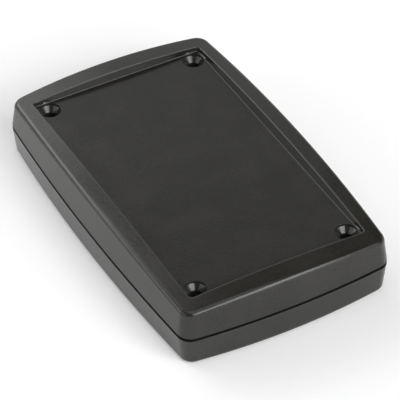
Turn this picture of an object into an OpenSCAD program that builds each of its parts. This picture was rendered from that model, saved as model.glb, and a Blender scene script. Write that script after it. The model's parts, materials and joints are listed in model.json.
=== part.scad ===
// Two-shell electronics enclosure with a sunk panel, held shut by four countersunk screws.
// X runs along the length, Y across the width, Z up. The origin is under the middle of the base.

/* [Outline at the parting line] */
// Length over the middle of the short sides
case_length = 145; // [110:1:220]
// Width over the middle of the long sides
case_width = 90.4; // [76:0.2:130]
// How far the middle of each short side bows out past its ends
end_bow = 3; // [1.4:0.1:6]
// How far the middle of each long side bows out past its ends
side_bow = 2.8; // [1.4:0.1:6]
// Plan radius of the corners at the parting line
corner_r = 5.6; // [4:0.1:9]
// Wall and panel thickness
wall = 2.6; // [1.9:0.1:2.9]

/* [Upper shell] */
// Parting line to the top of the crown at its centre, where the recess takes it away
cover_height = 15.6; // [14:0.1:26]
// Fall of the crown from its centre to the short sides
crown_end_drop = 2.9; // [1:0.1:4]
// Fall of the crown from its centre to the long sides
crown_side_drop = 2.5; // [1:0.1:4]
// How far the top edge stands in at the middle of each side
middle_inset = 1.7; // [0.9:0.1:2.2]
// How far the top edge stands in at the corners
corner_inset = 0.85; // [0.3:0.05:0.9]
// Plan radius of the corners at the top edge
top_corner_r = 5; // [4:0.1:9]
// Rounding of the top edge
top_edge_r = 1.4; // [0.6:0.1:2]

/* [Sunk panel] */
// Short side at the parting line to the recess
end_border = 11.1; // [10.4:0.1:24]
// Long side at the parting line to the recess
side_border = 9.8; // [9.4:0.1:18]
// Crown centre to the panel
recess_depth = 5.4; // [5:0.1:6.5]
// Lean of the recess walls
recess_draft = 16; // [4:1:20]
// Plan radius of the recess corners
recess_corner_r = 0.9; // [0.6:0.1:3]
// Rounding of the recess rim
rim_r = 0.4; // [0.2:0.1:0.6]
// Rounding at the foot of the recess walls
recess_floor_r = 0.2; // [0.2:0.1:0.5]

/* [Lower shell] */
// Underside to parting line
base_height = 12.5; // [9:0.5:30]
// How far the underside stands in from the parting line at the middle of the short sides
base_end_inset = 0.2; // [0.1:0.05:1.5]
// How far the underside stands in from the parting line at the middle of the long sides
base_side_inset = 0.5; // [0.1:0.05:1.5]
// How much more the sides of the underside bow than the parting line
base_bow_gain = 0.7; // [0:0.1:1]
// Plan radius of the corners at the underside
base_corner_r = 5; // [5:0.1:10]
// Rounding of the bottom edge
bottom_edge_r = 1.9; // [1:0.1:3.5]

/* [Parting joint] */
// Height of the groove that shows all round
groove_height = 1; // [0.3:0.1:1.2]
// Depth of that groove
groove_depth = 1; // [0.3:0.1:1]
// Width of the land on which the shells meet
land_width = 0.45; // [0.4:0.05:0.8]
// Height of the tongue on the lower shell
tongue_height = 1.6; // [1:0.1:2.5]
// Clearance round the tongue
tongue_clearance = 0.15; // [0.05:0.05:0.2]
// Broken edge along the groove
edge_break = 0.1; // [0.1:0.05:0.4]

/* [Screws] */
// Screw centre to the nearest two recess walls
screw_edge = 4.4; // [4.3:0.1:12]
// Clearance hole for the screw
screw_hole_d = 5; // [3:0.1:5.2]
// Countersink across its mouth
countersink_d = 8.4; // [6:0.1:8.5]
// Straight part at the mouth of the countersink
countersink_lead = 1; // [0.1:0.1:1]
// Full angle of the countersink cone
countersink_angle = 80; // [75:1:120]
// Outside of the screw sleeve in the upper shell and of the pillar in the lower shell
pillar_d = 9.4; // [8:0.1:9.8]
// Hole in the pillar for a thread-forming screw
pilot_d = 3.4; // [2.5:0.1:4]
// Gap between sleeve and pillar, so that the walls meet first
pillar_gap = 0.2; // [0.1:0.05:0.5]
// Thickness of the plates that tie sleeves and pillars to the walls
gusset_t = 1.4; // [1:0.1:2]

/* [Board bosses] */
// Distance between the bosses along the length
boss_spacing_x = 84; // [50:1:90]
// Long side at the parting line to the boss centres
boss_edge = 11.2; // [10.5:0.1:16]
// Outside of a boss
boss_d = 6; // [5:0.1:8]
// Hole in a boss
boss_hole_d = 2.5; // [1.8:0.1:3]
// Height of the bosses in the lower shell
base_boss_height = 5; // [3:0.1:6]
// Height of the bosses in the upper shell
cover_boss_height = 3; // [2:0.1:4]

/* [Hidden] */
$fn = 64;
shell_grey = [0.24, 0.24, 0.235];
// Straight steps along each short side, each long side and each corner of an outline
end_steps = 8;
side_steps = 14;
corner_steps = 6;
// Bow of an outline side that is meant to be straight
no_bow = 0.01;
overshoot = 1;

seam_z = base_height;
recess_z = seam_z + cover_height - recess_depth;
panel_under_z = recess_z - wall;
recess_length = case_length - 2 * end_border;
recess_width = case_width - 2 * side_border;
screw_x = recess_length / 2 - screw_edge;
screw_y = recess_width / 2 - screw_edge;
boss_x = boss_spacing_x / 2;
boss_y = case_width / 2 - boss_edge;
bow_loss = middle_inset - corner_inset;
land_in = groove_depth + land_width;
tongue_in = land_in + tongue_clearance;
// How far the end of a gusset stands in from the outside, well within the wall
gusset_in = 0.75 * wall;
// How far the gussets stop short of the parting line, clear of the tongue
gusset_stop = 2 * tongue_height;
// Room left at the long sides between the upper shell's wall and the wall of its sunk panel
hump_room = side_border - middle_inset - 2 * wall - tan(recess_draft) * recess_depth;
// Rounding inside the top edge, and the least that a narrow border leaves of it
full_inner_r = 0.7;
least_inner_r = 0.1;
inner_r = max(least_inner_r, min(full_inner_r, hump_room / 2));
panel_edge_r = wall / 2;
floor_inner_r = 1.5;
// How far a fillet between the leaning recess wall and a level face reaches, for a radius of 1
fillet_reach = tan(45 - recess_draft / 2);

// Radius of the arc that rises by bow over a chord of twice half
function arc_radius(half, bow) = (half * half + bow * bow) / (2 * bow);
function polar(angle) = [cos(angle), sin(angle)];

// Points of an arc with their outward directions, leaving out its first point unless asked for
function arc_points(centre, radius, from, to, steps, first = 1) =
    [for (i = [first:steps])
        let (angle = from + (to - from) * i / steps)
        [centre + radius * polar(angle), polar(angle)]];

// One quarter of a bowed outline, from the middle of a short side to the middle of a long side
function quarter(length, width, bow_x, bow_y, corner) =
    let (
        end_radius = arc_radius(width / 2, bow_x),
        side_radius = arc_radius(length / 2, bow_y),
        end_centre = [length / 2 - end_radius, 0],
        side_centre = [0, width / 2 - side_radius],
        apart = norm(side_centre - end_centre),
        along = (side_centre - end_centre) / apart,
        end_reach = end_radius - corner,
        side_reach = side_radius - corner,
        foot = (end_reach ^ 2 - side_reach ^ 2 + apart ^ 2) / (2 * apart),
        rise = sqrt(end_reach ^ 2 - foot ^ 2),
        corner_centre = end_centre + foot * along + rise * [-along[1], along[0]],
        corner_from = atan2(corner_centre[1], corner_centre[0] - end_centre[0]),
        corner_to = atan2(corner_centre[1] - side_centre[1], corner_centre[0])
    )
    concat(
        arc_points(end_centre, end_radius, 0, corner_from, end_steps / 2, 0),
        arc_points(corner_centre, corner, corner_from, corner_to, corner_steps),
        arc_points(side_centre, side_radius, corner_to, 90, side_steps / 2)
    );

function flip(point, x, y) = [point[0] * x, point[1] * y];
function flipped(entry, x, y) = [flip(entry[0], x, y), flip(entry[1], x, y)];

// A whole outline, anticlockwise from +X: each entry is a point and its outward direction
function outline(length, width, bow_x, bow_y, corner) =
    let (q = quarter(length, width, bow_x, bow_y, corner), last = len(q) - 1)
    concat(
        q,
        [for (i = [last - 1:-1:0]) flipped(q[i], -1, 1)],
        [for (i = [1:last]) flipped(q[i], -1, -1)],
        [for (i = [last - 1:-1:1]) flipped(q[i], 1, -1)]
    );

seam_outline = outline(case_length, case_width, end_bow, side_bow, corner_r);
top_outline = outline(case_length - 2 * middle_inset, case_width - 2 * middle_inset,
    end_bow - bow_loss, side_bow - bow_loss, top_corner_r);
under_outline = outline(case_length - 2 * base_end_inset, case_width - 2 * base_side_inset,
    end_bow + base_bow_gain, side_bow + base_bow_gain, base_corner_r);
recess_outline = outline(recess_length, recess_width, no_bow, no_bow, recess_corner_r);

// Height of the crowned top over a point
function crown(p) = seam_z + cover_height
    - crown_end_drop * (2 * p[0] / case_length) ^ 2
    - crown_side_drop * (2 * p[1] / case_width) ^ 2;

// The recess walls lean out, so the rim lies further out where the crown is higher
rim_outline = [for (s = recess_outline)
    [s[0] + s[1] * tan(recess_draft) * (crown(s[0]) - recess_z), s[1]]];

// An outline moved outwards, set at a height, laid a distance under the crown, or mixed with another
function moved(line, out) = [for (s = line) s[0] + s[1] * out];
function level(ring, z) = [for (p = ring) [p[0], p[1], z]];
function draped(ring, under) = [for (p = ring) [p[0], p[1], crown(p) - under]];
function mixed(ring_a, ring_b, t) = [for (i = [0:len(ring_a) - 1]) ring_a[i] * (1 - t) + ring_b[i] * t];

// Where the outside of the shells lies at the parting line, along a line through x or y
function side_at(x) = case_width / 2 - arc_radius(case_length / 2, side_bow)
    + sqrt(arc_radius(case_length / 2, side_bow) ^ 2 - x ^ 2);
function end_at(y) = case_length / 2 - arc_radius(case_width / 2, end_bow)
    + sqrt(arc_radius(case_width / 2, end_bow) ^ 2 - y ^ 2);

// The upper shell's section, from the panel out over the rim and crown, down the wall, in under
// the parting line, and up inside to the underside of the panel
recess_rings = [for (t = [0, 1 / 2, 1]) let (a = t * (90 - recess_draft))
    level(moved(recess_outline, recess_floor_r * (sin(a) - fillet_reach)),
        recess_z + recess_floor_r * (1 - cos(a)))];
rim_rings = [for (t = [0, 1 / 3, 2 / 3, 1]) let (a = recess_draft + t * (90 - recess_draft))
    draped(moved(rim_outline, rim_r * (fillet_reach - cos(a))), rim_r * (1 - sin(a)))];
crown_rings = [for (t = [1 / 3, 2 / 3])
    draped(mixed(moved(rim_outline, rim_r * fillet_reach), moved(top_outline, -top_edge_r), t), 0)];
top_edge_rings = [for (a = [90:-18:0])
    draped(moved(top_outline, -top_edge_r * (1 - cos(a))), top_edge_r * (1 - sin(a)))];
cover_seam_rings = [
    level(moved(seam_outline, 0), seam_z + groove_height / 2 + edge_break),
    level(moved(seam_outline, -edge_break), seam_z + groove_height / 2),
    level(moved(seam_outline, -groove_depth), seam_z + groove_height / 2),
    level(moved(seam_outline, -groove_depth), seam_z),
    level(moved(seam_outline, -land_in), seam_z),
    level(moved(seam_outline, -land_in), seam_z + tongue_height + tongue_clearance),
    level(moved(seam_outline, -wall), seam_z + tongue_height + tongue_clearance)
];
cover_inner_rings = [for (a = [0:30:90])
    draped(moved(top_outline, -wall - inner_r * (1 - cos(a))), wall + inner_r * (1 - sin(a)))];
panel_wall_rings = [for (a = [90:-30:0])
    draped(moved(rim_outline, wall + inner_r * (1 - cos(a))), wall + inner_r * (1 - sin(a)))];
panel_under_rings = [for (a = [0:45:90])
    level(moved(recess_outline, wall - panel_edge_r * (1 - cos(a))),
        panel_under_z + panel_edge_r * (1 - sin(a)))];
cover_rings = concat(recess_rings, rim_rings, crown_rings, top_edge_rings, cover_seam_rings,
    cover_inner_rings, panel_wall_rings, panel_under_rings);

// The lower shell's section, from its floor up inside, over the tongue, and down the outside
floor_rings = [for (a = [90:-30:0])
    level(moved(under_outline, -wall - floor_inner_r * (1 - cos(a))), wall + floor_inner_r * (1 - sin(a)))];
base_seam_rings = [
    level(moved(seam_outline, -wall), seam_z + tongue_height),
    level(moved(seam_outline, -tongue_in - edge_break), seam_z + tongue_height),
    level(moved(seam_outline, -tongue_in), seam_z + tongue_height - edge_break),
    level(moved(seam_outline, -tongue_in), seam_z),
    level(moved(seam_outline, -groove_depth), seam_z),
    level(moved(seam_outline, -groove_depth), seam_z - groove_height / 2),
    level(moved(seam_outline, -edge_break), seam_z - groove_height / 2),
    level(moved(seam_outline, 0), seam_z - groove_height / 2 - edge_break)
];
bottom_edge_rings = [for (a = [0:15:90])
    level(moved(under_outline, -bottom_edge_r * (1 - cos(a))), bottom_edge_r * (1 - sin(a)))];
base_rings = concat(floor_rings, base_seam_rings, bottom_edge_rings);

// Number of the i-th point of a ring, among rings of n points
function point_id(ring, i, n) = ring * n + i % n;

// A solid skinned over rings of points, from an upward face inside the first to a downward face in the last
module skinned(rings) {
    n = len(rings[0]);
    last = len(rings) - 1;
    polyhedron(
        points = [for (ring = rings) each ring],
        faces = concat(
            [[for (i = [n - 1:-1:0]) i]],
            [for (k = [0:last - 1], i = [0:n - 1])
                [point_id(k, i, n), point_id(k, i + 1, n), point_id(k + 1, i + 1, n)]],
            [for (k = [0:last - 1], i = [0:n - 1])
                [point_id(k, i, n), point_id(k + 1, i + 1, n), point_id(k + 1, i, n)]],
            [[for (i = [0:n - 1]) point_id(last, i, n)]]
        )
    );
}

module at_screws() {
    for (x = [-1, 1], y = [-1, 1]) {
        translate([x * screw_x, y * screw_y, 0]) children();
    }
}

module at_bosses() {
    for (x = [-1, 1], y = [-1, 1]) {
        translate([x * boss_x, y * boss_y, 0]) children();
    }
}

// Plates from each screw centre out to the two nearest walls, between two heights
module gussets(from_z, to_z) {
    reach_x = end_at(screw_y) - gusset_in - screw_x;
    reach_y = side_at(screw_x) - gusset_in - screw_y;
    for (x = [0, 1], y = [0, 1]) {
        mirror([x, 0, 0]) mirror([0, y, 0]) translate([screw_x, screw_y, from_z]) {
            translate([0, -gusset_t / 2, 0]) cube([reach_x, gusset_t, to_z - from_z]);
            translate([-gusset_t / 2, 0, 0]) cube([gusset_t, reach_y, to_z - from_z]);
        }
    }
}

// Countersink and clearance hole of one screw, as a turned shape cut down from the panel
module screw_cut(depth) {
    cone_height = (countersink_d - screw_hole_d) / 2 / tan(countersink_angle / 2);
    rotate_extrude() polygon([
        [0, overshoot],
        [countersink_d / 2, overshoot],
        [countersink_d / 2, -countersink_lead],
        [screw_hole_d / 2, -countersink_lead - cone_height],
        [screw_hole_d / 2, -depth],
        [0, -depth]
    ]);
}

module upper_shell() {
    sleeve_z = seam_z + pillar_gap;
    color(shell_grey) difference() {
        union() {
            skinned(cover_rings);
            at_screws() translate([0, 0, sleeve_z]) {
                cylinder(d = pillar_d, h = recess_z - wall / 2 - sleeve_z);
            }
            gussets(seam_z + gusset_stop, recess_z - wall / 2);
            at_bosses() translate([0, 0, panel_under_z - cover_boss_height]) {
                cylinder(d = boss_d, h = cover_boss_height + wall / 2);
            }
        }
        at_screws() translate([0, 0, recess_z]) screw_cut(recess_z - sleeve_z + overshoot);
        at_bosses() translate([0, 0, panel_under_z - cover_boss_height - overshoot]) {
            cylinder(d = boss_hole_d, h = cover_boss_height + overshoot);
        }
    }
}

module lower_shell() {
    color(shell_grey) difference() {
        union() {
            skinned(base_rings);
            at_screws() translate([0, 0, wall / 2]) cylinder(d = pillar_d, h = seam_z - wall / 2);
            gussets(wall / 2, seam_z - gusset_stop);
            at_bosses() translate([0, 0, wall / 2]) cylinder(d = boss_d, h = base_boss_height + wall / 2);
        }
        at_screws() translate([0, 0, wall]) cylinder(d = pilot_d, h = seam_z - wall + overshoot);
        at_bosses() translate([0, 0, wall]) cylinder(d = boss_hole_d, h = base_boss_height + overshoot);
    }
}

upper_shell();
lower_shell();
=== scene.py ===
"""Looks of a two-shell electronics enclosure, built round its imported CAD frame.

The frame is in metres, with +Z up and the origin under the base. Shapes are worked out in millimetres.
"""

import json
import math

import bpy
import numpy as np
from mathutils import Matrix, Vector


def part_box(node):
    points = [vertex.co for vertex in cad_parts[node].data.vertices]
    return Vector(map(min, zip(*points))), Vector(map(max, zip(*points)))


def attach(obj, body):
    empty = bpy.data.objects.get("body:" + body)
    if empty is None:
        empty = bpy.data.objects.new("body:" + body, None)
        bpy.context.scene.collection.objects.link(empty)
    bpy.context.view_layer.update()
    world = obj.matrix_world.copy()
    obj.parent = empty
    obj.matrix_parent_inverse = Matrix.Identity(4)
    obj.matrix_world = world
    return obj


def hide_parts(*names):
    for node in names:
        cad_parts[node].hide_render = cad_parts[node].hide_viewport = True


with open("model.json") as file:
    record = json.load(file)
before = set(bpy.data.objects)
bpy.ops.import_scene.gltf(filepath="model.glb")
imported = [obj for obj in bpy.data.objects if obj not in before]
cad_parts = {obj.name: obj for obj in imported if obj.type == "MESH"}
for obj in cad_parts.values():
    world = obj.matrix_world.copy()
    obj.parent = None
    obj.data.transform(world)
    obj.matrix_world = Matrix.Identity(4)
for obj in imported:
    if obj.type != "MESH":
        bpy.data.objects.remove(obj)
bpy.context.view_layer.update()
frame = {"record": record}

MM = 0.001

# Sizes in millimetres that the frame gives: overall length and width, parting line, panel and screw pattern
mounts = {m["name"]: m for m in frame["record"]["mounts"]}
shell_low, shell_high = (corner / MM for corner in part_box("upper_shell"))
case_length = shell_high.x - shell_low.x
case_width = shell_high.y - shell_low.y
seam_z = shell_low.z
top_z = shell_high.z
panel_z = mounts["panel_recess"]["pos_m"][2] / MM
screws = mounts["cover_screw_holes"]["dims"]
pilots = mounts["pillar_pilot_holes"]["dims"]
bosses = mounts["lower_board_bosses"]["dims"]

# Bowed outlines: how far each side bows, the corner radii, and how far the top and bottom edges stand in
end_bow = 3.0
side_bow = 2.8
corner_r = 5.6
middle_inset = 1.45
corner_inset = 0.85
top_corner_r = 5.0
base_end_inset = 0.2
base_side_inset = 0.5
base_bow_gain = 0.7
base_corner_r = 5.0
no_bow = 0.01

# Crown, borders and roundings of the upper shell
wall = 2.6
cover_height = 15.6
crown_end_drop = 2.9
crown_side_drop = 2.5
top_edge_r = 1.9
recess_lean = 16.0
end_border = 11.1
side_border = 9.8
recess_corner_r = 0.9
rim_r = 0.4
floor_r = 0.2
foot_margin = 0.1
inner_r = 0.7
panel_edge_r = wall / 2

# Roundings of the lower shell, and the parting joint
bottom_edge_r = 1.9
floor_inner_r = 1.5
groove_height = 1.0
groove_depth = 1.0
land_width = 0.45
lip_drop = 0.3
tongue_height = 1.6
tongue_clearance = 0.15
edge_break = 0.1

# Screw holes, pillars and bosses
countersink_d = 8.4
countersink_lead = 1.0
countersink_angle = 80.0
mouth_round = 0.08
mouth_slope = 35.0
pillar_d = 9.4
pillar_gap = 0.2
gusset_t = 1.4
gusset_stop = 0.75 * wall
gusset_gap = 2 * tongue_height
boss_d = 6.0
base_boss_height = 5.0
cover_boss_height = 3.0
overshoot = 1.0

# How finely outlines, roundings and turned shapes are stepped
END_STEPS = 36
SIDE_STEPS = 60
CORNER_STEPS = 14
EDGE_STEPS = 4
ROUND_STEPS = 8
TOP_EDGE_STEPS = 16
CROWN_STEPS = 8
TURNED_STEPS = 96

# Strips wider than this get supporting rings this near their ends, and edges sharper than this stay sharp
WIDEST_STRIP = 0.8
SUPPORT_GAP = 0.12
SHARP_ANGLE = math.radians(32)

# Painted light of a ring: painted highlight on the rim and foot of the recess, the top edge and the other edges,
# none on open surfaces, and painted shade in the joint
RIM_HIGHLIGHT = 1.0
TOP_HIGHLIGHT = 0.3
EDGE_HIGHLIGHT = 0.2
NO_PAINTED_LIGHT = 0.0
JOINT_SHADE = -1.0

# The plastic's features in metres, from drifts in tone down to the marks of the spark: size and depth of relief
CLOUD_SIZE, CLOUD_DEPTH = 0.014, 0.00006
PATCH_SIZE = 0.004
SPECK_SIZE, SPECK_DEPTH = 0.0011, 0.000025
GRAIN_SIZE, GRAIN_DEPTH = 0.00045, 0.000015
SPARK_SIZE, SPARK_DEPTH = 0.0004, 0.000005
SMEAR_SIZE, SMEAR_DEPTH = 0.0015, 0.000004

# How much of the depth is left on the panel, and what each feature adds to the tone
PANEL_SPECK, PANEL_GRAIN = 0.6, 0.5
SPECK_TONE, GRAIN_TONE, CLOUD_TONE = 0.3, 0.35, 0.65

# Colours of the plastic, linear: darker and lighter tone, the paler painted highlight on edges, the painted shade
# deep in the joint, and polished with a lighter painted sheen
DARK_TONE = (0.0150, 0.0144, 0.0122)
LIGHT_TONE = (0.0270, 0.0261, 0.0225)
PAINTED_HIGHLIGHT_TONE = (0.045, 0.044, 0.042)
JOINT_SHADE_TONE = (0.004, 0.004, 0.004)
POLISHED_SHEEN_TONE = (0.030, 0.030, 0.028)

# Roughness: its range, its smaller unevenness, what the joint adds, and its range where polished
GLOSS_LOW, GLOSS_HIGH = 0.16, 0.18
GLOSS_PATCH = 0.01
JOINT_GLOSS = 0.5
POLISHED_LOW, POLISHED_HIGH = 0.14, 0.19
IOR = 1.5

# Floor: half its side and its drop below the case in metres, and its two parts, matt white and white for the eye
FLOOR_HALF = 4.0
FLOOR_DROP = 0.00005
FLOOR_WHITE = 0.9
FLOOR_GLOW = 0.2

# Brightness of the dim room, and the elevation in degrees that the white backdrop round the table reaches
ROOM = 0.004
BACKDROP_TOP = 12.0

# Softboxes, this far off in metres: azimuths and elevations of the window that each fills, in degrees, and radiance
LAMP_DISTANCE = 3.0
SOFTBOXES = [
    ("softbox_right_low", (10, 35), (2, 21), 1.08),
    ("softbox_right", (10, 35), (21, 42), 5.75),
    ("softbox_right_front", (-15, 10), (21, 42), 5.19),
    ("softbox_right_back", (35, 55), (21, 42), 1.48),
    ("softbox_right_high", (20, 45), (44, 56), 6.15),
    ("softbox_front_high", (-20, 20), (44, 60), 2.03),
    ("softbox_back_low", (158, 164), (22, 34), 0.95),
    ("softbox_back_right", (158, 164), (34, 43.6), 1.19),
    ("softbox_back", (164, 177), (20, 43), 1.67),
    ("softbox_back_middle", (177, 190), (20, 43), 2.68),
    ("softbox_back_left", (190, 222), (20, 43.5), 3.38),
    ("softbox_back_left_high", (190, 235), (44.5, 60), 1.25),
    ("softbox_back_high", (165, 190), (47, 52), 2.51),
    ("softbox_back_top", (165, 190), (52, 62), 0.70),
    ("softbox_back_top_right", (158, 165), (50, 58), 1.01),
    ("softbox_far_low", (136, 158), (18, 32), 0.66),
    ("softbox_far", (136, 150), (32, 45), 0.40),
    ("softbox_far_middle", (150, 158), (32, 43.6), 0.53),
    ("softbox_far_high", (136, 158), (45, 56), 0.12),
    ("softbox_left_back", (222, 250), (12, 30), 2.38),
    ("softbox_left", (250, 290), (22, 42), 1.25),
]

# The photograph's camera: azimuth, elevation and roll in degrees, and distance and lens in millimetres
CAMERA_ANGLES = (61.209, 41.170, -0.376)
CAMERA_DISTANCE = 1039.8
CAMERA_LENS = 251.4

# Where the camera aims, in millimetres to the right of and above the middle of the parting line
AIM_RIGHT, AIM_UP = 2.075, -3.670


def arc_radius(half, bow):
    """Radius of the arc that rises by bow over a chord of twice half."""
    return (half * half + bow * bow) / (2 * bow)


def arc_points(centre, radius, start, end, steps):
    """Points of an arc beside their outward directions, one row of four numbers for each point."""
    angles = np.linspace(start, end, steps + 1)
    outward = np.stack([np.cos(angles), np.sin(angles)], 1)
    return np.hstack([np.array(centre) + radius * outward, outward])


def outline(length, width, bow_x, bow_y, corner):
    """A closed bowed outline with round corners, anticlockwise from the middle of the +X side."""
    end_radius = arc_radius(width / 2, bow_x)
    side_radius = arc_radius(length / 2, bow_y)
    end_centre = np.array([length / 2 - end_radius, 0])
    side_centre = np.array([0, width / 2 - side_radius])
    apart = np.linalg.norm(side_centre - end_centre)
    along = (side_centre - end_centre) / apart
    end_reach = end_radius - corner
    side_reach = side_radius - corner
    foot = (end_reach ** 2 - side_reach ** 2 + apart ** 2) / (2 * apart)
    rise = math.sqrt(end_reach ** 2 - foot ** 2)
    corner_centre = end_centre + foot * along + rise * np.array([-along[1], along[0]])
    corner_from = math.atan2(corner_centre[1], corner_centre[0] - end_centre[0])
    corner_to = math.atan2(corner_centre[1] - side_centre[1], corner_centre[0])
    quarter = np.vstack([
        arc_points(end_centre, end_radius, 0, corner_from, END_STEPS // 2),
        arc_points(corner_centre, corner, corner_from, corner_to, CORNER_STEPS)[1:],
        arc_points(side_centre, side_radius, corner_to, math.pi / 2, SIDE_STEPS // 2)[1:],
    ])
    flip_x = np.array([-1, 1, -1, 1])
    flip_y = np.array([1, -1, 1, -1])
    half = np.vstack([quarter, (quarter * flip_x)[-2::-1]])
    return np.vstack([half, (half * flip_y)[-2:0:-1]])


def crown(points):
    """Height of the crowned top over points."""
    fall_x = crown_end_drop * (2 * points[:, 0] / case_length) ** 2
    fall_y = crown_side_drop * (2 * points[:, 1] / case_width) ** 2
    return seam_z + cover_height - fall_x - fall_y


def moved(line, out):
    """Points of an outline moved outwards."""
    return line[:, :2] + line[:, 2:] * out


def level(line, out, z):
    """An outline moved outwards and set at a height."""
    points = moved(line, out)
    return np.column_stack([points, np.full(len(points), z)])


def draped(points, under=0.0):
    """Points laid a distance under the crown."""
    return np.column_stack([points, crown(points) - under])


bow_loss = middle_inset - corner_inset
recess_length = case_length - 2 * end_border
recess_width = case_width - 2 * side_border
seam_line = outline(case_length, case_width, end_bow, side_bow, corner_r)
top_line = outline(case_length - 2 * middle_inset, case_width - 2 * middle_inset,
                   end_bow - bow_loss, side_bow - bow_loss, top_corner_r)
under_line = outline(case_length - 2 * base_end_inset, case_width - 2 * base_side_inset,
                     end_bow + base_bow_gain, side_bow + base_bow_gain, base_corner_r)
recess_line = outline(recess_length, recess_width, no_bow, no_bow, recess_corner_r)

# The recess walls lean out, so the rim lies further out where the crown is higher
lean = math.tan(math.radians(recess_lean))
rim_line = recess_line.copy()
rim_line[:, :2] += recess_line[:, 2:] * lean * (crown(recess_line)[:, None] - panel_z)


def quarter_turn(start=0.0, end=90.0, steps=ROUND_STEPS):
    """Angles along a rounding as pairs of cosine and sine."""
    return [(math.cos(a), math.sin(a)) for a in np.radians(np.linspace(start, end, steps + 1))]


def upper_rings():
    """Section of the upper shell from the panel over the crown to the underside, as (ring, wear).

    The first ring bounds the panel.
    """
    reach = math.tan(math.radians(45 - recess_lean / 2))
    rings = [(level(recess_line, -floor_r - foot_margin, panel_z), NO_PAINTED_LIGHT)]
    # The rim and the foot of the recess get a painted highlight
    rings += [(level(recess_line, floor_r * (s - reach), panel_z + floor_r * (1 - c)), RIM_HIGHLIGHT)
              for c, s in quarter_turn(0, 90 - recess_lean, EDGE_STEPS)]
    rings += [(draped(moved(rim_line, rim_r * (reach - c)), rim_r * (1 - s)), RIM_HIGHLIGHT)
              for c, s in quarter_turn(recess_lean, 90)]
    rim_top = moved(rim_line, rim_r * reach)
    crown_end = moved(top_line, -top_edge_r)
    rings += [(draped(rim_top * (1 - t) + crown_end * t), NO_PAINTED_LIGHT)
              for t in np.linspace(0, 1, CROWN_STEPS + 1)[1:-1]]
    # The top edge gets a faint painted highlight
    rings += [(draped(moved(top_line, -top_edge_r * (1 - c)), top_edge_r * (1 - s)), TOP_HIGHLIGHT)
              for c, s in reversed(quarter_turn(steps=TOP_EDGE_STEPS))]
    lip_z = seam_z + groove_height / 2
    rings += [(level(seam_line, -edge_break * (1 - c), lip_z + edge_break * (1 - s)), EDGE_HIGHLIGHT)
              for c, s in quarter_turn(steps=EDGE_STEPS)]
    land_in = groove_depth + land_width
    pocket_z = seam_z + tongue_height + tongue_clearance
    # The rings in the joint get painted shade
    rings += [(level(seam_line, out, z), JOINT_SHADE) for out, z in [
        (-groove_depth, lip_z),
        (-groove_depth, seam_z),
        (-land_in, seam_z),
        (-land_in, pocket_z),
        (-wall, pocket_z),
    ]]
    rings += [(draped(moved(top_line, -wall - inner_r * (1 - c)), wall + inner_r * (1 - s)), NO_PAINTED_LIGHT)
              for c, s in quarter_turn()]
    rings += [(draped(moved(rim_line, wall + inner_r * (1 - c)), wall + inner_r * (1 - s)), NO_PAINTED_LIGHT)
              for c, s in reversed(quarter_turn())]
    under_z = panel_z - wall
    rings += [(level(recess_line, wall - panel_edge_r * (1 - c), under_z + panel_edge_r * (1 - s)), NO_PAINTED_LIGHT)
              for c, s in quarter_turn()]
    return rings


def lower_rings():
    """Section of the lower shell, as (ring, wear).

    It runs from the floor up inside, over the tongue and down the outside to the underside.
    """
    rings = [(level(under_line, -wall - floor_inner_r * (1 - c), wall + floor_inner_r * (1 - s)), NO_PAINTED_LIGHT)
             for c, s in reversed(quarter_turn())]
    tongue_in = groove_depth + land_width + tongue_clearance
    tongue_z = seam_z + tongue_height
    lip_z = seam_z - groove_height / 2 - lip_drop
    # The rings in the joint get painted shade
    rings += [(level(seam_line, out, z), JOINT_SHADE) for out, z in [
        (-wall, tongue_z),
        (-tongue_in - edge_break, tongue_z),
        (-tongue_in, tongue_z - edge_break),
        (-tongue_in, seam_z),
        (-groove_depth, seam_z),
        (-groove_depth, lip_z),
    ]]
    rings += [(level(seam_line, -edge_break * (1 - c), lip_z - edge_break * (1 - s)), EDGE_HIGHLIGHT)
              for c, s in reversed(quarter_turn(steps=EDGE_STEPS))]
    rings += [(level(under_line, -bottom_edge_r * (1 - c), bottom_edge_r * (1 - s)), EDGE_HIGHLIGHT)
              for c, s in quarter_turn()]
    return rings


def with_supports(rings):
    """Adds a ring close to each end of every wide strip, so that roundings shade evenly and edges stay narrow."""
    made = [rings[0]]
    for (before, light_before), (after, light_after) in zip(rings, rings[1:]):
        width = np.linalg.norm(after - before, axis=1).mean()
        if width > WIDEST_STRIP:
            for t in (SUPPORT_GAP / width, 1 - SUPPORT_GAP / width):
                made.append((before * (1 - t) + after * t, min(light_before, light_after, NO_PAINTED_LIGHT)))
        made.append((after, light_after))
    return made


def mesh_object(name, points, faces):
    """An object made of points in millimetres."""
    mesh = bpy.data.meshes.new(name)
    mesh.from_pydata([tuple(p) for p in np.asarray(points, float) * MM], [], faces)
    mesh.validate()
    made = bpy.data.objects.new(name, mesh)
    bpy.context.scene.collection.objects.link(made)
    return made


def skinned(name, rings):
    """A closed solid skinned over rings of points.

    Its attributes say how much painted highlight or painted shade each ring gets, and that the grain is coarser
    outside the first ring.
    """
    count = len(rings[0][0])
    points = np.vstack([ring for ring, painted_light in rings])
    points[:, 2] = np.minimum(points[:, 2], top_z)
    faces = [tuple(range(count))]
    for k in range(len(rings) - 1):
        for i in range(count):
            j = (i + 1) % count
            faces.append((k * count + j, k * count + i, (k + 1) * count + i, (k + 1) * count + j))
    last = (len(rings) - 1) * count
    faces.append(tuple(last + i for i in reversed(range(count))))
    made = mesh_object(name, points, faces)
    per_ring = {"painted_light": [painted_light for ring, painted_light in rings], "coarse": [0.0] + [1.0] * (len(rings) - 1)}
    for attribute, values in per_ring.items():
        made.data.attributes.new(attribute, "FLOAT", "POINT").data.foreach_set("value", np.repeat(values, count))
    return made


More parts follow.
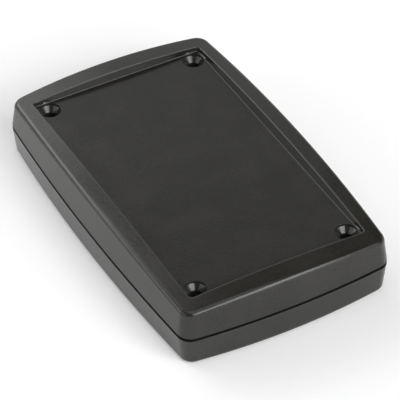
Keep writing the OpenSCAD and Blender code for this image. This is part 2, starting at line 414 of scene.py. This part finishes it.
def turned(name, profile, places):
    """Closed solids turned from a profile of (radius, height) pairs, one at each place."""
    angles = np.linspace(0, 2 * math.pi, TURNED_STEPS, endpoint=False)
    circle = np.stack([np.cos(angles), np.sin(angles)], 1)
    points, faces = [], []
    for x, y in places:
        start = len(points)
        for radius, z in profile:
            points += [(x + radius * cx, y + radius * cy, z) for cx, cy in circle]
        faces.append(tuple(start + i for i in reversed(range(TURNED_STEPS))))
        for k in range(len(profile) - 1):
            low = start + k * TURNED_STEPS
            high = low + TURNED_STEPS
            for i in range(TURNED_STEPS):
                j = (i + 1) % TURNED_STEPS
                faces.append((low + i, low + j, high + j, high + i))
        faces.append(tuple(high + i for i in range(TURNED_STEPS)))
    return mesh_object(name, points, faces)


def blocks(name, boxes):
    """Closed rectangular solids, each given by two opposite corners."""
    points, faces = [], []
    sides = [(0, 2, 3, 1), (4, 5, 7, 6), (0, 1, 5, 4), (2, 6, 7, 3), (0, 4, 6, 2), (1, 3, 7, 5)]
    for a, b in boxes:
        low, high = np.minimum(a, b), np.maximum(a, b)
        start = len(points)
        points += [(x, y, z) for z in (low[2], high[2]) for y in (low[1], high[1]) for x in (low[0], high[0])]
        faces += [tuple(start + i for i in side) for side in sides]
    return mesh_object(name, points, faces)


def combine(piece, tool, operation):
    """Joins a tool to a piece or cuts it away. The tool goes, and its faces keep their material."""
    change = piece.modifiers.new(operation, "BOOLEAN")
    change.operation = operation
    change.solver = "EXACT"
    change.material_mode = "TRANSFER"
    change.object = tool
    bpy.context.view_layer.update()
    result = bpy.data.meshes.new_from_object(piece.evaluated_get(bpy.context.evaluated_depsgraph_get()))
    piece.modifiers.remove(change)
    old = piece.data
    piece.data = result
    result.name = piece.name
    bpy.data.meshes.remove(old)
    bpy.data.meshes.remove(tool.data)


def four(spacing):
    """Places of a rectangular pattern of four."""
    x, y = spacing["spacing_x_mm"] / 2, spacing["spacing_y_mm"] / 2
    return [(i * x, j * y) for i in (-1, 1) for j in (-1, 1)]


def gusset_boxes(from_z, to_z):
    """Plates from each screw centre out to the two nearest walls, those along X and those along Y."""
    end_radius = arc_radius(case_width / 2, end_bow)
    side_radius = arc_radius(case_length / 2, side_bow)
    along_x, along_y = [], []
    for x, y in four(screws):
        reach_x = case_length / 2 - end_radius + math.sqrt(end_radius ** 2 - y ** 2) - gusset_stop
        reach_y = case_width / 2 - side_radius + math.sqrt(side_radius ** 2 - x ** 2) - gusset_stop
        along_x.append(((x, y - gusset_t / 2, from_z), (math.copysign(reach_x, x), y + gusset_t / 2, to_z)))
        along_y.append(((x - gusset_t / 2, y, from_z), (x + gusset_t / 2, math.copysign(reach_y, y), to_z)))
    return along_x, along_y


def countersink_profile():
    """Half section of the cut for one screw, from its lower end up, with a broken edge at the mouth."""
    mouth_r = countersink_d / 2
    hole_r = screws["hole_r_mm"]
    cone_depth = countersink_lead + (mouth_r - hole_r) / math.tan(math.radians(countersink_angle / 2))
    mouth = [(mouth_r + mouth_round * (1 - s), panel_z - mouth_round * (1 - c))
             for c, s in reversed(quarter_turn(mouth_slope, 90, EDGE_STEPS))]
    slope = math.tan(math.radians(mouth_slope))
    return [
        (hole_r, seam_z - overshoot),
        (hole_r, panel_z - cone_depth),
        (mouth_r, panel_z - countersink_lead),
        *mouth,
        (mouth[-1][0] + overshoot, mouth[-1][1] + slope * overshoot),
    ]


def round_bar(name, radius, low, high, places):
    """Upright round bars, one at each place."""
    return turned(name, [(radius, low), (radius, high)], places)


def upper_shell(grained, polished):
    """The cover: crowned border, sunk panel, countersunk holes, and sleeves, gussets and bosses inside."""
    made = skinned("upper_shell_moulding", with_supports(upper_rings()))
    made.data.materials.append(grained)
    sleeve_z = seam_z + pillar_gap
    buried_z = panel_z - wall / 2
    under_z = panel_z - wall
    combine(made, round_bar("sleeves", pillar_d / 2, sleeve_z, buried_z, four(screws)), "UNION")
    for plates in gusset_boxes(seam_z + gusset_gap, buried_z):
        combine(made, blocks("gussets", plates), "UNION")
    boss_z = under_z - cover_boss_height
    combine(made, round_bar("bosses", boss_d / 2, boss_z, buried_z, four(bosses)), "UNION")
    sinks = turned("countersinks", countersink_profile(), four(screws))
    sinks.data.materials.append(polished)
    combine(made, sinks, "DIFFERENCE")
    holes = round_bar("boss_holes", bosses["hole_r_mm"], boss_z - overshoot, under_z, four(bosses))
    combine(made, holes, "DIFFERENCE")
    return made


def lower_shell(grained):
    """The base: floor, walls with the tongue, and screw pillars, gussets and board bosses inside."""
    made = skinned("lower_shell_moulding", with_supports(lower_rings()))
    made.data.materials.append(grained)
    buried_z = wall / 2
    combine(made, round_bar("pillars", pillar_d / 2, buried_z, seam_z, four(screws)), "UNION")
    for plates in gusset_boxes(buried_z, seam_z - gusset_gap):
        combine(made, blocks("gussets", plates), "UNION")
    boss_z = wall + base_boss_height
    combine(made, round_bar("bosses", boss_d / 2, buried_z, boss_z, four(bosses)), "UNION")
    holes = round_bar("pilot_holes", pilots["hole_r_mm"], wall, seam_z + overshoot, four(screws))
    combine(made, holes, "DIFFERENCE")
    holes = round_bar("boss_holes", bosses["hole_r_mm"], wall, boss_z + overshoot, four(bosses))
    combine(made, holes, "DIFFERENCE")
    return made


def shade(piece):
    """Smooth shading between sharp edges, with normals that follow the widest faces."""
    piece.data.polygons.foreach_set("use_smooth", [True] * len(piece.data.polygons))
    piece.data.set_sharp_from_angle(angle=SHARP_ANGLE)
    weighted = piece.modifiers.new("weighted_normals", "WEIGHTED_NORMAL")
    weighted.keep_sharp = True
    weighted.weight = 50


class Nodes:
    """A short way to add and link the nodes of one material or world."""

    def __init__(self, tree):
        self.tree = tree
        tree.nodes.clear()

    def add(self, kind, inputs=None, **settings):
        made = self.tree.nodes.new(kind)
        for name, value in settings.items():
            setattr(made, name, value)
        for name, value in (inputs or {}).items():
            if isinstance(value, bpy.types.NodeSocket):
                self.tree.links.new(value, made.inputs[name])
            else:
                made.inputs[name].default_value = value
        return made

    def noise(self, where, size, detail=2.0, roughness=0.5):
        """Noise with features of about this size in metres."""
        return self.add("ShaderNodeTexNoise", {
            "Vector": where, "Scale": 1 / size, "Detail": detail, "Roughness": roughness}).outputs["Fac"]

    def spread(self, value, low, high, from_low=0.3, from_high=0.7):
        """Maps a value, clamped, to a new range. The old range is by default what noise spans."""
        return self.add("ShaderNodeMapRange", {
            "Value": value, "From Min": from_low, "From Max": from_high, "To Min": low, "To Max": high}).outputs[0]

    def mix(self, factor, a, b):
        """Mixes two colours, each a socket or three numbers."""
        a, b = ((*c, 1) if isinstance(c, tuple) else c for c in (a, b))
        made = self.add("ShaderNodeMix", {"Factor": factor}, data_type="RGBA")
        for socket, value in zip([i for i in made.inputs if i.type == "RGBA"], (a, b)):
            if isinstance(value, bpy.types.NodeSocket):
                self.tree.links.new(value, socket)
            else:
                socket.default_value = value
        return [o for o in made.outputs if o.type == "RGBA"][0]

    def sum(self, a, b):
        return self.add("ShaderNodeMath", {0: a, 1: b}, operation="ADD").outputs[0]

    def scale(self, value, factor):
        return self.add("ShaderNodeMath", {0: value, 1: factor}, operation="MULTIPLY").outputs[0]

    def seen_directly(self):
        """One for rays from the camera and for mirrored and transmitted rays, nought for soft light."""
        path = self.add("ShaderNodeLightPath").outputs
        kinds = [path["Is Camera Ray"], path["Is Glossy Ray"], path["Is Transmission Ray"]]
        return self.add("ShaderNodeMath", {0: self.sum(kinds[0], kinds[1]), 1: kinds[2]},
                        operation="MAXIMUM").outputs[0]

    def bump(self, height, depth, normal=None):
        """A normal tilted by relief of this depth in metres, on top of another normal."""
        inputs = {"Height": height, "Distance": depth}
        if normal is not None:
            inputs["Normal"] = normal
        return self.add("ShaderNodeBump", inputs).outputs["Normal"]


def grained_plastic():
    """Dark grey ABS from a spark-eroded mould: fine grain, slightly uneven tone and gloss, paler edges that are a
    painted highlight, and painted shade in the joint.
    """
    material = bpy.data.materials.new("grained_plastic")
    material.use_nodes = True
    n = Nodes(material.node_tree)
    where = n.add("ShaderNodeTexCoord").outputs["Object"]
    painted_light = n.add("ShaderNodeAttribute", attribute_name="painted_light").outputs["Fac"]
    coarse = n.add("ShaderNodeAttribute", attribute_name="coarse").outputs["Fac"]
    # Paler colour on the rim, the recess foot and faintly on the top edge is a painted highlight
    painted_highlight = n.spread(painted_light, 0.0, 1.0, 0.25, RIM_HIGHLIGHT)
    # Darker colour deep in the joint is painted shade, and the joint is made rougher too
    joint_shade = n.spread(painted_light, 1.0, 0.0, JOINT_SHADE, NO_PAINTED_LIGHT)
    cloud = n.noise(where, CLOUD_SIZE, 3.0)
    patch = n.noise(where, PATCH_SIZE, 3.0)
    speck = n.noise(where, SPECK_SIZE)
    grain = n.noise(where, GRAIN_SIZE, 4.0, 0.6)
    spark = n.add("ShaderNodeTexVoronoi", {"Vector": where, "Scale": 1 / SPARK_SIZE, "Smoothness": 0.6},
                  feature="SMOOTH_F1").outputs["Distance"]
    tone = n.sum(n.scale(speck, SPECK_TONE), n.sum(n.scale(grain, GRAIN_TONE), n.scale(cloud, CLOUD_TONE)))
    colour = n.mix(n.spread(tone, 0.0, 1.0, 0.45, 0.85), DARK_TONE, LIGHT_TONE)
    colour = n.mix(painted_highlight, colour, PAINTED_HIGHLIGHT_TONE)
    colour = n.mix(joint_shade, colour, JOINT_SHADE_TONE)
    gloss = n.sum(n.spread(cloud, GLOSS_LOW, GLOSS_HIGH), n.spread(patch, -GLOSS_PATCH, GLOSS_PATCH))
    gloss = n.sum(gloss, n.scale(joint_shade, JOINT_GLOSS))
    normal = n.bump(spark, SPARK_DEPTH)
    normal = n.bump(n.scale(grain, n.spread(coarse, PANEL_GRAIN, 1.0, 0.0, 1.0)), GRAIN_DEPTH, normal)
    normal = n.bump(n.scale(speck, n.spread(coarse, PANEL_SPECK, 1.0, 0.0, 1.0)), SPECK_DEPTH, normal)
    normal = n.bump(cloud, CLOUD_DEPTH, normal)
    surface = n.add("ShaderNodeBsdfPrincipled", {
        "Base Color": colour, "Roughness": gloss, "IOR": IOR, "Normal": normal})
    n.add("ShaderNodeOutputMaterial", {"Surface": surface.outputs[0]})
    return material


def polished_plastic():
    """The same plastic where a polished steel pin moulded it: smooth, glossier in places, and a little lighter in
    colour as a painted sheen.
    """
    material = bpy.data.materials.new("polished_plastic")
    material.use_nodes = True
    n = Nodes(material.node_tree)
    smear = n.noise(n.add("ShaderNodeTexCoord").outputs["Object"], SMEAR_SIZE)
    # The colour, lighter than the grained plastic's, is a painted sheen
    surface = n.add("ShaderNodeBsdfPrincipled", {
        "Base Color": (*POLISHED_SHEEN_TONE, 1), "Roughness": n.spread(smear, POLISHED_LOW, POLISHED_HIGH),
        "IOR": IOR, "Normal": n.bump(smear, SMEAR_DEPTH)})
    n.add("ShaderNodeOutputMaterial", {"Surface": surface.outputs[0]})
    return material


def pale_floor():
    """A large white floor that keeps the object's shadow and can't be seen from below."""
    material = bpy.data.materials.new("white_floor")
    material.use_nodes = True
    n = Nodes(material.node_tree)
    matt = n.add("ShaderNodeBsdfDiffuse", {"Color": (FLOOR_WHITE, FLOOR_WHITE, FLOOR_WHITE, 1)})
    glow = n.add("ShaderNodeEmission", {"Strength": n.scale(n.seen_directly(), FLOOR_GLOW)})
    white = n.add("ShaderNodeAddShader", {0: matt.outputs[0], 1: glow.outputs[0]})
    clear = n.add("ShaderNodeBsdfTransparent")
    below = n.add("ShaderNodeNewGeometry").outputs["Backfacing"]
    surface = n.add("ShaderNodeMixShader", {"Fac": below, 1: white.outputs[0], 2: clear.outputs[0]})
    n.add("ShaderNodeOutputMaterial", {"Surface": surface.outputs[0]})
    mesh = bpy.data.meshes.new("floor")
    corners = [(i * FLOOR_HALF, j * FLOOR_HALF, 0) for i, j in [(-1, -1), (1, -1), (1, 1), (-1, 1)]]
    mesh.from_pydata(corners, [], [(0, 1, 2, 3)])
    floor = bpy.data.objects.new("floor", mesh)
    floor.location.z = -FLOOR_DROP
    mesh.materials.append(material)
    bpy.context.scene.collection.objects.link(floor)


def direction(azimuth, elevation):
    """Unit vector from the object, with azimuth from +X towards +Y, in degrees."""
    a, e = math.radians(azimuth), math.radians(elevation)
    return Vector((math.cos(a) * math.cos(e), math.sin(a) * math.cos(e), math.sin(e)))


def softbox(name, azimuth, elevation, width, height, radiance):
    """A softbox that faces the object. A radiance of 1 looks white in a mirror."""
    light = bpy.data.lights.new(name, "AREA")
    light.shape = "RECTANGLE"
    light.size, light.size_y = width, height
    light.energy = radiance * width * height * math.pi
    lamp = bpy.data.objects.new(name, light)
    towards = direction(azimuth, elevation)
    lamp.location = towards * LAMP_DISTANCE
    lamp.rotation_euler = towards.to_track_quat("Z", "Y").to_euler()
    lamp.visible_camera = False
    bpy.context.scene.collection.objects.link(lamp)


def window_light(name, azimuths, elevations, radiance):
    """A softbox that fills a window of directions, in degrees."""
    azimuth, elevation = sum(azimuths) / 2, sum(elevations) / 2
    half_width, half_height = (math.radians(high - low) / 2 for low, high in (azimuths, elevations))
    width = 2 * LAMP_DISTANCE * math.tan(half_width) * math.cos(math.radians(elevation))
    softbox(name, azimuth, elevation, width, 2 * LAMP_DISTANCE * math.tan(half_height), radiance)


def lighting():
    """Soft studio light: softboxes round a white table with a low white backdrop, and a dim room above."""
    for name, azimuths, elevations, radiance in SOFTBOXES:
        window_light(name, azimuths, elevations, radiance)
    softbox("softbox_above", azimuth=0, elevation=89, width=2.2, height=2.2, radiance=1.08)
    world = bpy.data.worlds.new("room")
    bpy.context.scene.world = world
    world.use_nodes = True
    n = Nodes(world.node_tree)
    path = n.add("ShaderNodeLightPath").outputs
    towards = n.add("ShaderNodeSeparateXYZ", {"Vector": n.add("ShaderNodeTexCoord").outputs["Generated"]})
    low = n.add("ShaderNodeMath", {0: towards.outputs["Z"], 1: math.sin(math.radians(BACKDROP_TOP))},
                operation="LESS_THAN").outputs[0]
    mirrored = n.scale(n.sum(path["Is Glossy Ray"], path["Is Transmission Ray"]), low)
    white = n.add("ShaderNodeMath", {0: path["Is Camera Ray"], 1: mirrored}, operation="MAXIMUM").outputs[0]
    room = n.add("ShaderNodeBackground", {"Color": (1, 1, 1, 1), "Strength": n.spread(white, ROOM, 1.0, 0, 1)})
    n.add("ShaderNodeOutputWorld", {"Surface": room.outputs[0]})


def photo_camera():
    """The photograph's camera: a long lens, looking down on the case from its +X, -Y corner."""
    azimuth, elevation, roll = (math.radians(angle) for angle in CAMERA_ANGLES)
    back = Vector((math.sin(azimuth) * math.cos(elevation), -math.cos(azimuth) * math.cos(elevation),
                   math.sin(elevation)))
    level_right = Vector((math.cos(azimuth), math.sin(azimuth), 0))
    level_up = back.cross(level_right)
    right = level_right * math.cos(roll) + level_up * math.sin(roll)
    up = back.cross(right)
    aim = Vector((0, 0, seam_z)) + right * AIM_RIGHT + up * AIM_UP
    camera = bpy.data.objects.new("camera", bpy.data.cameras.new("camera"))
    camera.data.lens = CAMERA_LENS
    camera.data.sensor_width = 36
    camera.data.clip_start, camera.data.clip_end = 0.05, 50
    turn = Matrix((right, up, back)).transposed().to_4x4()
    camera.matrix_world = Matrix.Translation((aim + back * CAMERA_DISTANCE) * MM) @ turn
    bpy.context.scene.collection.objects.link(camera)
    bpy.context.scene.camera = camera


bpy.context.scene.view_settings.view_transform = "Standard"
photo_camera()
lighting()
pale_floor()

grained = grained_plastic()
polished = polished_plastic()
for piece, cad_node in [(upper_shell(grained, polished), "upper_shell"), (lower_shell(grained), "lower_shell")]:
    shade(piece)
    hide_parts(cad_node)
    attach(piece, "root")
